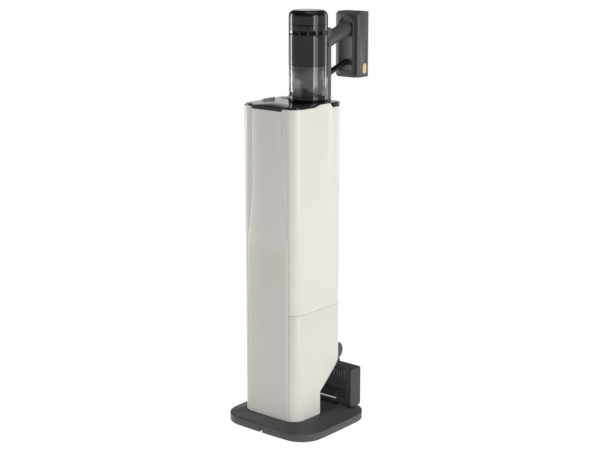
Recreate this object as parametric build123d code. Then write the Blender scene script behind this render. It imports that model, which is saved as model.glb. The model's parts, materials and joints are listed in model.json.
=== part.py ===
from build123d import *
from math import cos, sin, radians
import os

# Cordless stick vacuum parked in its tall emptying station. Millimetres, +Z up, origin on the floor
# under the middle of the base. -Y is the station's removable rear cover, +Y the wand and nozzle side.

# station
BASE_HALF_X, BASE_HALF_Y = 137.5, 132.0
BASE_EDGE_BULGE = 4.0
BASE_CORNER_R = 62.0
BASE_RIM_TOP = 20.5
BASE_WALL = 4.0
FOOT_HEIGHT = 2.0
TOWER_HALF_X = 87.0
TOWER_REAR_Y, TOWER_FRONT_Y = -107.7, 80.0
SIDE_BULGE, REAR_BULGE = 3.2, 3.0
TOWER_CORNER_R = 33.0
TOWER_FOOT_Z, TOWER_TOP_Z = 38.0, 817.0
SHELL_WALL = 3.0
SEAM = 0.7
TOP_PLATE_THICK = 8.0
DOOR_SPLIT_Z = 311.0
DOOR_STEP_Y = 30.0
COVER_HALF_TOP, COVER_HALF_LOW = 47.0, 65.0
FLARE_TOP_Z, FLARE_LOW_Z = 618.0, 485.0
FRONT_PANEL_HALF = 46.0
BAY_BACK_Y, BAY_SLANT_Z = -15.0, 97.0
BAY_FLOOR_Z = 24.5
CHASSIS_HALF = 48.0
CHASSIS_WALL = 3.0
SCREW_R = 1.6
SCREW_PLACES = [
    (112, 40), (-112, 40), (112, -40), (-112, -40), (50, 116), (-50, 116), (50, -116), (-50, -116)]
TOWER_SCREW_PLACES = [(34, -76), (-34, -76), (34, -40), (-34, -40)]
DUCT_Y, DUCT_R = 24.0, 17.0
FAN_Y = -20.0
BAG_SHELF_Z, DUCT_SHELF_Z = 322.0, 640.0
HINGE_PIN_R = 1.5
KNUCKLE_R = 3.0
KNUCKLE_LENGTH = 9.0
RUNNING_GAP = 0.05
TOOL_X, TOOL_Y, TOOL_R, TOOL_CLIP_Z = 67.0, -30.0, 14.5, 645.0
BUTTON_X, BUTTON_R = 32.0, 6.0
BUTTON_Z = TOWER_TOP_Z - 47.0
WELL_DEPTH = 68.0

# vacuum
BODY_R = 48.1
BODY_WALL = 2.4
BODY_Y = TOWER_FRONT_Y - 33.9
BIN_SEAT_Z = TOWER_TOP_Z - 4.5
BASE_RING_H = 16.5
BIN_H = 73.0
MOTOR_H = 71.0
VENT_H = 29.0
CAP_H = 33.5
VENT_COUNT = 14
FLAP_R = 25.0
WAND_Y = TOWER_FRONT_Y + 26.0
TUBE_R, TUBE_WALL = 19.0, 2.0
INNER_TUBE_GAP = 0.5
PIVOT_Z = 164.0
DRUM_R, DRUM_HALF = 23.0, 50.0
NOZZLE_HALF = 110.0
NOZZLE_BACK_Y, NOZZLE_FRONT_Y = WAND_Y - 22.0, WAND_Y + 22.0
NOZZLE_LOW_Z, NOZZLE_HIGH_Z = BAY_FLOOR_Z + 2.5, PIVOT_Z - 32.0
ROLLER_R = 16.5
GRIP_R, STRUT_R = 18.0, 7.5
PACK_HALF = 34.0
PACK_LOW_Z = BIN_SEAT_Z + 46.0
PACK_HIGH_Z = PACK_LOW_Z + 164.5
FRAME_Y = WAND_Y + 92.6
SEAM_Y, PACK_REAR_Y = FRAME_Y + 8.0, FRAME_Y + 52.0
WHEEL_R = 8.0

# heights that follow from the sizes above
BASE_RING_Z = BIN_SEAT_Z + BASE_RING_H
BIN_TOP_Z = BASE_RING_Z + BIN_H
MOTOR_TOP_Z = BIN_TOP_Z + MOTOR_H
VENT_TOP_Z = MOTOR_TOP_Z + VENT_H
CAP_TOP_Z = VENT_TOP_Z + CAP_H
PLATE_LOW_Z = TOWER_TOP_Z - TOP_PLATE_THICK
INNER_X = TOWER_HALF_X - SHELL_WALL
CORNER_X, CORNER_Y = TOWER_HALF_X - TOWER_CORNER_R, TOWER_FRONT_Y - TOWER_CORNER_R
HINGE_DIR = cos(radians(45))
HINGE_REACH = TOWER_CORNER_R - KNUCKLE_R + 0.3
HINGE_X, HINGE_Y = CORNER_X + HINGE_REACH * HINGE_DIR, CORNER_Y + HINGE_REACH * HINGE_DIR
DOOR_LOW_Z, DOOR_HIGH_Z = DOOR_SPLIT_Z + SEAM / 2, PLATE_LOW_Z - 1.5
HINGE_HEIGHTS = [DOOR_LOW_Z + 40, (DOOR_LOW_Z + DOOR_HIGH_Z) / 2, DOOR_HIGH_Z - 50]
OUTER_LOW_Z, OUTER_TOP_Z = 430.0, BIN_SEAT_Z - 4.5
INNER_LOW_Z, INNER_TOP_Z = PIVOT_Z + 46, OUTER_LOW_Z + 235
COLLAR_R, COLLAR_H = 22.6, 46.0
SPINE_HALF, SPINE_REAR_Y, SPINE_FRONT_Y = 13.5, WAND_Y - 19.0, WAND_Y + 19.0
GRIP_START, GRIP_END = (0, WAND_Y - 2, PACK_LOW_Z + 92.7), (0, FRAME_Y - 1.6, PACK_LOW_Z + 122.7)
STRUT_START, STRUT_END = (0, WAND_Y + 8, PACK_LOW_Z + 12.0), (0, FRAME_Y - 1.6, PACK_LOW_Z + 39.6)
ARCH_HALF = 24.0
POWER_R, POWER_HALF = 3.2, 4.0
POWER_Z = PACK_HIGH_Z - 17.5
RELEASE_Y, RELEASE_Z = SEAM_Y + 21.9, PACK_LOW_Z + 21.5
RELEASE_R, RELEASE_HALF = 7.5, 5.7
CELL_R, CELL_STEP = 9.1, 18.5
AXLE_R = 5.0
DRUM_MID = 17.0
CAP_WIDTH = 6.0
SPLIT_Y = NOZZLE_FRONT_Y - 9
SHELL_HALF = NOZZLE_HALF - CAP_WIDTH
WHEEL_PLACES = (-72, 72)
WHEEL_AXLE_R, ROLLER_AXLE_R = 1.5, 3.0
RIB_COUNT, RIB_FIRST_X, RIB_STEP = 5, 58, 8
ROLLER_HALF = 89.0
WHEEL_Y, WHEEL_Z = NOZZLE_FRONT_Y - WHEEL_R + 2.5, NOZZLE_HIGH_Z - 18.0
ROLLER_Y, ROLLER_Z = WAND_Y + 1.5, NOZZLE_LOW_Z + 35.0
WINDOW_HALF, WINDOW_LOW, WINDOW_HIGH = 92.0, ROLLER_Z - 12.0, ROLLER_Z + 14.0
LIGHT_HALF, LIGHT_Z = 63.0, ROLLER_Z - 17.0
FLAP_HINGE_Y, FLAP_HINGE_Z, FLAP_PIN_R = BODY_Y - FLAP_R - 4.5, BIN_SEAT_Z + 2.2, 0.9
parts = {}


def span_box(x0, x1, y0, y1, z0, z1, round_z=0.0):
    """A box given by its limits, with its upright edges rounded."""
    solid = Pos((x0 + x1) / 2, (y0 + y1) / 2, (z0 + z1) / 2) * Box(x1 - x0, y1 - y0, z1 - z0)
    return fillet(solid.edges().filter_by(Axis.Z), round_z) if round_z else solid


def rod(start, end, radius):
    """A round bar between two points."""
    a, b = Vector(*start), Vector(*end)
    along = b - a
    return Plane(origin=a, z_dir=along) * extrude(Circle(radius), along.length)


def ring(outer, inner, z0, z1, x=0.0, y=0.0):
    return rod((x, y, z0), (x, y, z1), outer) - rod((x, y, z0 - 1), (x, y, z1 + 1), inner)


def side_prism(points, x0, x1):
    """A prism along X from an outline of (y, z) points."""
    plane = Plane(origin=(x0, 0, 0), x_dir=(0, 1, 0), z_dir=(1, 0, 0))
    return extrude(plane * make_face(Polyline(*points, close=True)), x1 - x0)


def back_prism(points, y0, y1):
    """A prism along Y from an outline of (x, z) points."""
    plane = Plane(origin=(0, y1, 0), x_dir=(1, 0, 0), z_dir=(0, -1, 0))
    return extrude(plane * make_face(Polyline(*points, close=True)), y1 - y0)


def bulged_face(half_x, y_rear, y_front, bulge_x, bulge_rear, bulge_front, corner):
    """A rounded rectangle with slightly bowed sides."""
    middle = (y_rear + y_front) / 2
    edges = [
        ThreePointArc((-half_x, y_rear), (0, y_rear - bulge_rear), (half_x, y_rear)),
        ThreePointArc((half_x, y_rear), (half_x + bulge_x, middle), (half_x, y_front)),
        ThreePointArc((half_x, y_front), (0, y_front + bulge_front), (-half_x, y_front)),
        ThreePointArc((-half_x, y_front), (-half_x - bulge_x, middle), (-half_x, y_rear)),
    ]
    face = make_face(edges)
    return fillet(face.vertices(), corner)


def tower_face(inset=0.0):
    return bulged_face(
        TOWER_HALF_X - inset, TOWER_REAR_Y + inset, TOWER_FRONT_Y - inset,
        SIDE_BULGE, REAR_BULGE, 0.6, TOWER_CORNER_R - inset)


def base_face(inset=0.0):
    return bulged_face(
        BASE_HALF_X - inset, -BASE_HALF_Y + inset, BASE_HALF_Y - inset,
        BASE_EDGE_BULGE, BASE_EDGE_BULGE, BASE_EDGE_BULGE, BASE_CORNER_R - inset)


def tower_block(z0, z1, inset=0.0):
    return extrude(Pos(0, 0, z0) * tower_face(inset), z1 - z0)


def tower_ring(z0, z1):
    return tower_block(z0, z1) - tower_block(z0 - 1, z1 + 1, SHELL_WALL)


def add(name, shape):
    """Keeps a finished sub-part under its node name."""
    solids = shape.solids()
    parts[name] = solids[0] if len(solids) == 1 else Compound(children=list(solids))


def base_plate():
    rim = extrude(Pos(0, 0, FOOT_HEIGHT) * base_face(), BASE_RIM_TOP - FOOT_HEIGHT)
    slope = loft([Pos(0, 0, BASE_RIM_TOP) * base_face(1.5), Pos(0, 0, TOWER_FOOT_Z) * tower_face(-1.5)])
    hollow = extrude(Pos(0, 0, FOOT_HEIGHT) * base_face(BASE_WALL + 2), BASE_RIM_TOP - BASE_WALL - FOOT_HEIGHT)
    pit = span_box(-INNER_X + 1, INNER_X - 1, BAY_BACK_Y + SEAM, BASE_HALF_Y + 20, BAY_FLOOR_Z, 60)
    seat = span_box(-NOZZLE_HALF - 4, NOZZLE_HALF + 4, NOZZLE_BACK_Y - 5, BASE_HALF_Y + 20, BAY_FLOOR_Z, 60)
    under_tower = tower_block(FOOT_HEIGHT, TOWER_FOOT_Z - BASE_WALL, 14) & span_box(-200, 200, -200, -30, 0, 60)
    notch = span_box(-7, 2, -BASE_HALF_Y - 20, -BASE_HALF_Y + 8, 0, 13)
    shell = rim + slope - pit - seat - hollow - under_tower
    for x, y in SCREW_PLACES:
        shell = shell + rod((x, y, FOOT_HEIGHT + 2), (x, y, BASE_RIM_TOP - 1), 5)
        shell = shell - rod((x, y, 0), (x, y, BASE_RIM_TOP - 6), SCREW_R)
    for x, y in TOWER_SCREW_PLACES:
        shell = shell - rod((x, y, 30), (x, y, 60), 2)
    return shell - notch


def underside_cover():
    plate = extrude(Pos(0, 0, FOOT_HEIGHT) * base_face(BASE_WALL + 2.4), 2)
    for x, y in SCREW_PLACES:
        plate = plate - rod((x, y, 0), (x, y, 9), SCREW_R + 0.2)
    return plate - span_box(-10, 5, -BASE_HALF_Y - 20, -BASE_HALF_Y + 24, 0, 13)


def screws():
    """Screws that hold the underside on, and the inner frame down on the base."""
    pieces = []
    for x, y in SCREW_PLACES:
        head = rod((x, y, FOOT_HEIGHT - 1.2), (x, y, FOOT_HEIGHT), 3.5)
        pieces.append(head + rod((x, y, FOOT_HEIGHT - 0.5), (x, y, BASE_RIM_TOP - 7), SCREW_R))
    z = TOWER_FOOT_Z + 0.6 + CHASSIS_WALL
    for x, y in TOWER_SCREW_PLACES:
        pieces.append(rod((x, y, z), (x, y, z + 2.5), 4) + rod((x, y, z - 7), (x, y, z), 2))
    return Compound(children=pieces)


def ballast():
    half_x, half_y = BASE_HALF_X - 42, BASE_HALF_Y - 40
    return span_box(-half_x, half_x, -half_y, half_y, FOOT_HEIGHT + 2, FOOT_HEIGHT + 11, 20)


def rubber_feet():
    x, y = BASE_HALF_X - 34, BASE_HALF_Y - 34
    places = [(0, 0), (x, y), (-x, y), (x, -y), (-x, -y)]
    return Compound(children=[rod((px, py, 0), (px, py, FOOT_HEIGHT), 12) for px, py in places])


def power_inlet():
    y = -BASE_HALF_Y + 8.3
    body = span_box(-8.5, 3.5, y, y + 14, FOOT_HEIGHT + 0.3, 13.5)
    return body - rod((-2.5, y - 1, 8), (-2.5, y + 9, 8), 2.75) + rod((-2.5, y + 3, 8), (-2.5, y + 10, 8), 0.9)


def cover_outline(extra, high_z):
    """The rear cover's outline: narrow above, flared out below."""
    top, low = COVER_HALF_TOP + extra, COVER_HALF_LOW + extra
    right = [(low, TOWER_FOOT_Z + 0.6 - extra), (low, FLARE_LOW_Z), (top, FLARE_TOP_Z), (top, high_z)]
    return right + [(-x, z) for x, z in reversed(right)]


def rear_cover():
    outline = back_prism(cover_outline(0, PLATE_LOW_Z - SEAM), TOWER_REAR_Y - 20, TOWER_REAR_Y + TOWER_CORNER_R)
    skin = (tower_ring(TOWER_FOOT_Z, TOWER_TOP_Z) & outline).solids().sort_by(SortBy.VOLUME)[-1]
    tab_z = TOWER_TOP_Z - 117
    tab = span_box(-20, 20, TOWER_REAR_Y - REAR_BULGE + SHELL_WALL - 0.5, TOWER_REAR_Y + 9, tab_z, tab_z + 6)
    return skin + tab


def shell_side(sign, points):
    """The side wall on one side, cut to a (y, z) outline and clear of the rear cover."""
    low, high = (0, TOWER_HALF_X + 20) if sign > 0 else (-TOWER_HALF_X - 20, 0)
    cover = back_prism(cover_outline(SEAM, TOWER_TOP_Z + 20), TOWER_REAR_Y - 20, TOWER_REAR_Y + TOWER_CORNER_R)
    shell = tower_ring(TOWER_FOOT_Z, TOWER_TOP_Z + 3) & side_prism(points, low, high)
    shell = shell - cover - span_box(-FRONT_PANEL_HALF, FRONT_PANEL_HALF, -300, 300, 0, TOWER_TOP_Z + 99)
    return shell.solids().sort_by(SortBy.VOLUME)[-1]


def bay_profile(offset):
    """The nozzle bay's wall, from the base up to the tower's front, moved in by an offset."""
    return [
        (BAY_BACK_Y - offset, TOWER_FOOT_Z + 0.6), (BAY_BACK_Y - offset, BAY_SLANT_Z + offset),
        (55 - offset * 0.7, BAY_SLANT_Z + 59 + offset * 0.7), (TOWER_FRONT_Y + 20, BAY_SLANT_Z + 98 + offset)]


def corner_cut(sign, from_angle, to_angle):
    """A wedge round the front corner's centre, for parting the shell beside the hinge."""
    reach = TOWER_CORNER_R + 30
    angles = [radians(a) for a in (from_angle, (from_angle + to_angle) / 2, to_angle)]
    points = [(0, 0)] + [(reach * cos(a), reach * sin(a)) for a in angles]
    outline = make_face(Polyline(*[(CORNER_X + x, CORNER_Y + y) for x, y in points], close=True))
    wedge = extrude(Pos(0, 0, DOOR_SPLIT_Z - 100) * outline, TOWER_TOP_Z)
    return wedge if sign > 0 else mirror(wedge, Plane.YZ)


def knuckle(sign, z, toward):
    """A hinge barrel with a short arm: toward is -1 for the door's side, +1 for the fixed side."""
    x, y = sign * HINGE_X, HINGE_Y
    barrel = rod((x, y, z), (x, y, z + KNUCKLE_LENGTH), KNUCKLE_R)
    arm_end = (x - sign * toward * 5.2 * HINGE_DIR, y + toward * 5.2 * HINGE_DIR, z)
    middle = Vector((x + arm_end[0]) / 2, (y + arm_end[1]) / 2, z + KNUCKLE_LENGTH / 2)
    arm = Pos(*middle) * Rot(0, 0, -45 * sign) * Box(5.2, 2.2, KNUCKLE_LENGTH)
    return barrel + arm


def door(sign):
    """A side door: the shell from the rear seam round to the front corner's hinge."""
    high = DOOR_HIGH_Z
    points = [
        (-150, DOOR_LOW_Z), (TOWER_FRONT_Y + 20, DOOR_LOW_Z), (TOWER_FRONT_Y + 20, high), (DOOR_STEP_Y, high),
        (DOOR_STEP_Y - 9, TOWER_TOP_Z + 1.5), (-17, TOWER_TOP_Z + 1.5), (-38, TOWER_TOP_Z - 3.5),
        (-150, TOWER_TOP_Z - 3.5)]
    shell = shell_side(sign, points) - corner_cut(sign, 38.5, 135)
    for z in HINGE_HEIGHTS:
        shell = shell + knuckle(sign, z, -1)
    x, y = sign * HINGE_X, HINGE_Y
    for z in HINGE_HEIGHTS:
        shell = shell - rod((x, y, z - 1), (x, y, z + KNUCKLE_LENGTH + 1), HINGE_PIN_R + RUNNING_GAP)
    return shell


def side_frame(sign):
    """The fixed shell of one side: the skirt below the door and the strip round the front corner."""
    top = DOOR_SPLIT_Z - SEAM / 2
    skirt = [(-150, TOWER_FOOT_Z + 0.6)] + bay_profile(0) + [(TOWER_FRONT_Y + 20, top), (-150, top)]
    strip = [(30, top - 5), (TOWER_FRONT_Y + 20, top - 5), (TOWER_FRONT_Y + 20, DOOR_HIGH_Z), (30, DOOR_HIGH_Z)]
    corner = shell_side(sign, strip) - corner_cut(sign, -60, 51.5)
    shell = shell_side(sign, skirt) + corner.solids().sort_by(SortBy.VOLUME)[-1]
    step = KNUCKLE_LENGTH + 0.4
    x, y = sign * HINGE_X, HINGE_Y
    for z in HINGE_HEIGHTS:
        shell = shell + knuckle(sign, z - step, 1) + knuckle(sign, z + step, 1)
        shell = shell - rod((x, y, z - step - 1), (x, y, z + 2 * step), HINGE_PIN_R)
    return shell


def side_frames():
    return Compound(children=[side_frame(sign) for sign in (-1, 1)])


def hinge_pins():
    step = KNUCKLE_LENGTH + 0.4
    pins = []
    for sign in (-1, 1):
        for z in HINGE_HEIGHTS:
            start = (sign * HINGE_X, HINGE_Y, z - step)
            pins.append(rod(start, (start[0], start[1], z + step + KNUCKLE_LENGTH), HINGE_PIN_R))
    return Compound(children=pins)


def top_plate():
    inner = tower_block(PLATE_LOW_Z, TOWER_TOP_Z, SHELL_WALL + 0.8)
    whole = tower_block(PLATE_LOW_Z, TOWER_TOP_Z)
    low, high = PLATE_LOW_Z - 1, TOWER_TOP_Z + 1
    front = whole & span_box(-300, 300, DOOR_STEP_Y + 2, 300, low, high)
    rear = whole & span_box(-COVER_HALF_TOP, COVER_HALF_TOP, -300, TOWER_REAR_Y + 28, low, high)
    hole = rod((0, BODY_Y, low), (0, BODY_Y, high), BODY_R + 1.2)
    return inner + front + rear - hole


def front_panel():
    """The dark front wall between the corners, with a shallow channel behind the wand."""
    half = FRONT_PANEL_HALF - 0.4
    low = BAY_SLANT_Z + 86
    panel = span_box(-half, half, TOWER_FRONT_Y - 6, TOWER_FRONT_Y + 0.4, low, PLATE_LOW_Z - 0.6)
    channel = rod((0, WAND_Y, low - 1), (0, WAND_Y, TOWER_TOP_Z), WAND_Y - TOWER_FRONT_Y + 2.5)
    y = TOWER_FRONT_Y + 0.4
    pocket = rod((BUTTON_X, y - 4, BUTTON_Z), (BUTTON_X, y + 1, BUTTON_Z), BUTTON_R + 0.3)
    return panel - channel - pocket


def bay_liner():
    """The dark wall of the nozzle bay."""
    inner, outer = bay_profile(4.5), bay_profile(1.0)
    outline = outer[:3] + [(78.0, BAY_SLANT_Z + 80.5), (74.0, BAY_SLANT_Z + 82.5)] + [inner[2], inner[1], inner[0]]
    wall = side_prism(outline, -INNER_X + 0.5, INNER_X - 0.5)
    return wall & tower_block(0, 300, SHELL_WALL + 0.5)


def chassis():
    """The inner frame: two side walls, a back foot and shelves for the bag and fan."""
    rear, front = TOWER_REAR_Y + 17, TOWER_FRONT_Y - 10
    outline = [
        (rear, TOWER_FOOT_Z + 0.6), (-21, TOWER_FOOT_Z + 0.6), (-21, 118), (TOWER_FRONT_Y - 36, 180),
        (front, 200),
        (front, PLATE_LOW_Z - 4.5), (rear, PLATE_LOW_Z - 4.5)]
    walls = side_prism(outline, -CHASSIS_HALF, CHASSIS_HALF)
    inner = CHASSIS_HALF - CHASSIS_WALL
    walls = walls - span_box(-inner, inner, -300, 300, 0, TOWER_TOP_Z)
    shelves = [
        (TOWER_FOOT_Z + 0.6, -21, None), (200, front - 5, None),
        (BAG_SHELF_Z, front, (FAN_Y, 30)), (DUCT_SHELF_Z, front, (DUCT_Y, 21))]
    for z, reach, hole in shelves:
        shelf = span_box(-inner - 1, inner + 1, rear, reach, z, z + CHASSIS_WALL)
        if hole:
            shelf = shelf - rod((0, hole[0], z - 1), (0, hole[0], z + 9), hole[1])
        walls = walls + shelf
    for x, y in TOWER_SCREW_PLACES:
        walls = walls - rod((x, y, 30), (x, y, 60), 2)
    for sign in (-1, 1):
        walls = walls + tool_clip(sign)
    return walls


def tool_clip(sign):
    """An open ring on the frame's side that grips a tool's socket."""
    x = sign * TOOL_X
    low, high = sorted((sign * (CHASSIS_HALF - 0.5), sign * (TOOL_X - TOOL_R)))
    bridge = span_box(low, high, TOOL_Y - 6, TOOL_Y + 6, TOOL_CLIP_Z, TOOL_CLIP_Z + 12)
    clip = ring(TOOL_R + 2.6, TOOL_R + 0.1, TOOL_CLIP_Z, TOOL_CLIP_Z + 12, x, TOOL_Y) + bridge
    high = TOOL_CLIP_Z + 20
    clip = clip - span_box(x - 12, x + 12, TOOL_Y - 30, TOOL_Y - 2, TOOL_CLIP_Z - 9, high)
    return clip - rod((x, TOOL_Y, TOOL_CLIP_Z - 9), (x, TOOL_Y, high), TOOL_R + 0.1)


def dock_well():
    """The cup under the docked bin, with a flange that carries the seal."""
    top = PLATE_LOW_Z - 0.5
    front = TOWER_FRONT_Y - 6.2
    half, rear = FLAP_R + 8, FLAP_HINGE_Y - 10.6
    cup = span_box(-half, half, rear, front, top - WELL_DEPTH, top, 8)
    flange = rod((0, BODY_Y, top - 3.5), (0, BODY_Y, top), BODY_R + 0.5)
    flange = flange & span_box(-CHASSIS_HALF + 0.4, CHASSIS_HALF - 0.4, -99, front, top - 9, top + 9)
    inside = span_box(-half + 2, half - 2, rear + 2, front - 1.4, top - WELL_DEPTH + 2, top + 1, 7)
    duct = rod((0, DUCT_Y, DUCT_SHELF_Z - 8), (0, DUCT_Y, top - WELL_DEPTH + 1), DUCT_R)
    return cup + flange + duct - inside - rod((0, DUCT_Y, DUCT_SHELF_Z - 9), (0, DUCT_Y, top - 9), DUCT_R - 2)


def dock_seal():
    low = PLATE_LOW_Z - 0.5
    seal = ring(BODY_R - 1.1, FLAP_R + 9, low, BIN_SEAT_Z, 0, BODY_Y)
    return seal & span_box(-99, 99, -99, TOWER_FRONT_Y - 0.5, low - 1, BIN_SEAT_Z + 1)


def dust_bag():
    low, high = BAG_SHELF_Z + 12, DUCT_SHELF_Z - 16
    bag = span_box(-41, 41, -80, 62, low, high, 16)
    bag = fillet(bag.faces().sort_by(Axis.Z)[-1].edges(), 12)
    collar = span_box(-32, 32, DUCT_Y - 32, DUCT_Y + 32, high - 0.5, high + 3, 6)
    return bag + collar + ring(26, 20, high, high + 13, 0, DUCT_Y)


def fan_housing():
    z0, z1 = 212.0, BAG_SHELF_Z - 0.3
    shell = ring(40, 37.5, z0, z1, 0, FAN_Y)
    shell = shell + rod((0, FAN_Y, z0 - 3), (0, FAN_Y, z0), 40)
    return shell - span_box(-15, 15, FAN_Y - 60, FAN_Y - 20, z0 + 8, z0 + 45)


def station_motor():
    z0 = 212.0
    return rod((0, FAN_Y, z0), (0, FAN_Y, z0 + 56), 26) + rod((0, FAN_Y, z0 + 56), (0, FAN_Y, z0 + 80), 3)


def impeller(x, y, z, radius, height, bore, blades):
    """A shrouded wheel: hub, back disc and radial blades."""
    wheel = rod((x, y, z), (x, y, z + 2), radius) + rod((x, y, z), (x, y, z + height), bore + 4)
    blade = Pos(radius / 2 + 2, 0, height / 2) * Box(radius - 6, 1.6, height)
    for turn in range(blades):
        wheel = wheel + Pos(x, y, z) * Rot(0, 0, turn * 360 / blades) * blade
    return wheel - rod((x, y, z - 1), (x, y, z + height + 1), bore)


def exhaust_filter():
    core = span_box(-44, 44, -103, -92, 62, 180)
    for x in range(-38, 39, 8):
        core = core - span_box(x - 1.5, x + 1.5, -104, -98, 68, 174)
    return core


def control_board():
    board = span_box(-38, 38, -88, -86.4, 60, 180)
    board = board + span_box(-30, -8, -87, -68, 80, 110) + span_box(4, 28, -87, -72, 74, 100)
    return board + span_box(-20, 20, -87, -80, 130, 160)


def charge_contacts():
    z = PLATE_LOW_Z - 24
    pins = [span_box(s * 6 - 2, s * 6 + 2, TOWER_FRONT_Y - 3, TOWER_FRONT_Y + 3, z, z + 12) for s in (-1, 1)]
    return Compound(children=[(pin - front_panel()).solids()[0] for pin in pins])


def empty_button():
    y = TOWER_FRONT_Y + 0.4
    return rod((BUTTON_X, y - 2.6, BUTTON_Z), (BUTTON_X, y + 1.2, BUTTON_Z), BUTTON_R)


def crevice_tool():
    x, y = TOOL_X, TOOL_Y
    socket = ring(TOOL_R, TOOL_R - 2.2, 610, 664, x, y)
    blade = loft([Pos(x, y, 610) * Circle(TOOL_R), Pos(x, y, 560) * Rectangle(11, 30)])
    tip = extrude(Pos(x, y, 425) * Rectangle(11, 30), 135)
    slot = span_box(x - 3.5, x + 3.5, y - 12, y + 12, 420, 612)
    return socket + blade + tip - slot


def dusting_brush():
    x, y = -TOOL_X, TOOL_Y
    socket = ring(TOOL_R, TOOL_R - 2.2, 600, 664, x, y)
    head = span_box(x - 13, x + 13, y - 24, y + 24, 570, 600, 6)
    tuft = span_box(x - 11, x + 11, y - 22, y + 22, 548, 571, 5)
    return socket + head - rod((x, y, 580), (x, y, 610), 10) + tuft


def body_ring(z0, z1, wall=BODY_WALL):
    return ring(BODY_R, BODY_R - wall, z0, z1, 0, BODY_Y)


def filter_cap():
    low = VENT_TOP_Z + 0.4
    outer = rod((0, BODY_Y, low), (0, BODY_Y, CAP_TOP_Z), BODY_R)
    outer = fillet(outer.faces().sort_by(Axis.Z)[-1].edges(), 15)
    inner = rod((0, BODY_Y, low - 1), (0, BODY_Y, CAP_TOP_Z - BODY_WALL), BODY_R - BODY_WALL)
    inner = fillet(inner.faces().sort_by(Axis.Z)[-1].edges(), 13)
    plug = ring(14, 12, CAP_TOP_Z - BODY_WALL - 10, CAP_TOP_Z - BODY_WALL + 0.5, 0, BODY_Y)
    return outer - inner + plug


def exhaust_core():
    """The pleated filter under the cap."""
    z0 = MOTOR_TOP_Z + 3
    core = ring(38, 18, z0, VENT_TOP_Z + 4, 0, BODY_Y)
    for turn in range(24):
        cut = Pos(0, BODY_Y, z0 + 14) * Rot(0, 0, turn * 15) * Pos(38, 0, 0) * Box(8, 2, 22)
        core = core - cut
    return core


def vent_ring():
    shell = body_ring(MOTOR_TOP_Z, VENT_TOP_Z)
    slot_z = MOTOR_TOP_Z + 9
    for turn in range(VENT_COUNT):
        angle = (turn + 0.5) * 360 / VENT_COUNT
        cut = Pos(0, BODY_Y, slot_z) * Rot(0, 0, angle) * Pos(BODY_R, 0, 0) * Box(12, 16.5, 10)
        shell = shell - cut
    floor = ring(BODY_R - BODY_WALL, 24, MOTOR_TOP_Z, MOTOR_TOP_Z + 2, 0, BODY_Y)
    return shell + floor


def motor_housing():
    shell = body_ring(BIN_TOP_Z, MOTOR_TOP_Z)
    return shell + ring(BODY_R - 1, 20, BIN_TOP_Z, BIN_TOP_Z + 3, 0, BODY_Y)


def vacuum_motor():
    z0 = BIN_TOP_Z + 9
    can = rod((0, BODY_Y, z0), (0, BODY_Y, z0 + 42), 24)
    return can + rod((0, BODY_Y, z0 + 42), (0, BODY_Y, z0 + 56), 2.5)


def dust_bin():
    wall = ring(BODY_R - 0.6, BODY_R - 2.8, BASE_RING_Z, BIN_TOP_Z, 0, BODY_Y)
    window = span_box(-11, 11, BODY_Y + 30, BODY_Y + 60, BIN_TOP_Z - 26, BIN_TOP_Z - 8)
    return wall - window


def bin_base():
    shell = body_ring(BIN_SEAT_Z, BASE_RING_Z, 2.8) + rod(
        (0, BODY_Y, BIN_SEAT_Z), (0, BODY_Y, BIN_SEAT_Z + 3), BODY_R - 1)
    mouth = rod((0, BODY_Y, BIN_SEAT_Z - 9), (0, BODY_Y, BASE_RING_Z + 9), FLAP_R + 0.6)
    slot = span_box(-11, 11, FLAP_HINGE_Y - 2.4, FLAP_HINGE_Y + 8, BIN_SEAT_Z - 1, BIN_SEAT_Z + 6)
    ears = span_box(-14, 14, FLAP_HINGE_Y - 2.4, FLAP_HINGE_Y + 2, BIN_SEAT_Z + 0.2, BIN_SEAT_Z + 5)
    shell = shell - mouth - slot + (ears - slot - mouth)
    return shell + rod((-13, FLAP_HINGE_Y, FLAP_HINGE_Z), (13, FLAP_HINGE_Y, FLAP_HINGE_Z), FLAP_PIN_R)


def bin_flap():
    disc = rod((0, BODY_Y, BIN_SEAT_Z + 0.4), (0, BODY_Y, BIN_SEAT_Z + 3), FLAP_R)
    tongue = span_box(-10, 10, FLAP_HINGE_Y, BODY_Y - FLAP_R + 6, BIN_SEAT_Z + 0.6, BIN_SEAT_Z + 2.8)
    barrel = rod((-10, FLAP_HINGE_Y, FLAP_HINGE_Z), (10, FLAP_HINGE_Y, FLAP_HINGE_Z), 1.8)
    bore = rod((-20, FLAP_HINGE_Y, FLAP_HINGE_Z), (20, FLAP_HINGE_Y, FLAP_HINGE_Z), FLAP_PIN_R + RUNNING_GAP)
    return disc + tongue + barrel - bore


def cyclone():
    """The dark separator inside the bin: a top drum, a slanting ramp and the inlet duct's end."""
    top = BIN_TOP_Z
    drum = ring(40, 20, top - 15, top, 0, BODY_Y)
    ramp = rod((0, BODY_Y, top - 48), (0, BODY_Y, top - 15), 34)
    slope_line = [(-60, top - 26), (60, top - 42), (60, top - 80), (-60, top - 80)]
    slope = back_prism(slope_line, BODY_Y - 66, BODY_Y + 64)
    tube = rod((0, BODY_Y, BASE_RING_Z - 8), (0, BODY_Y, top - 14), 19.6)
    return drum + (ramp - slope) + tube - rod((0, BODY_Y, BIN_SEAT_Z), (0, BODY_Y, top + 1), 17.4)


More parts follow.
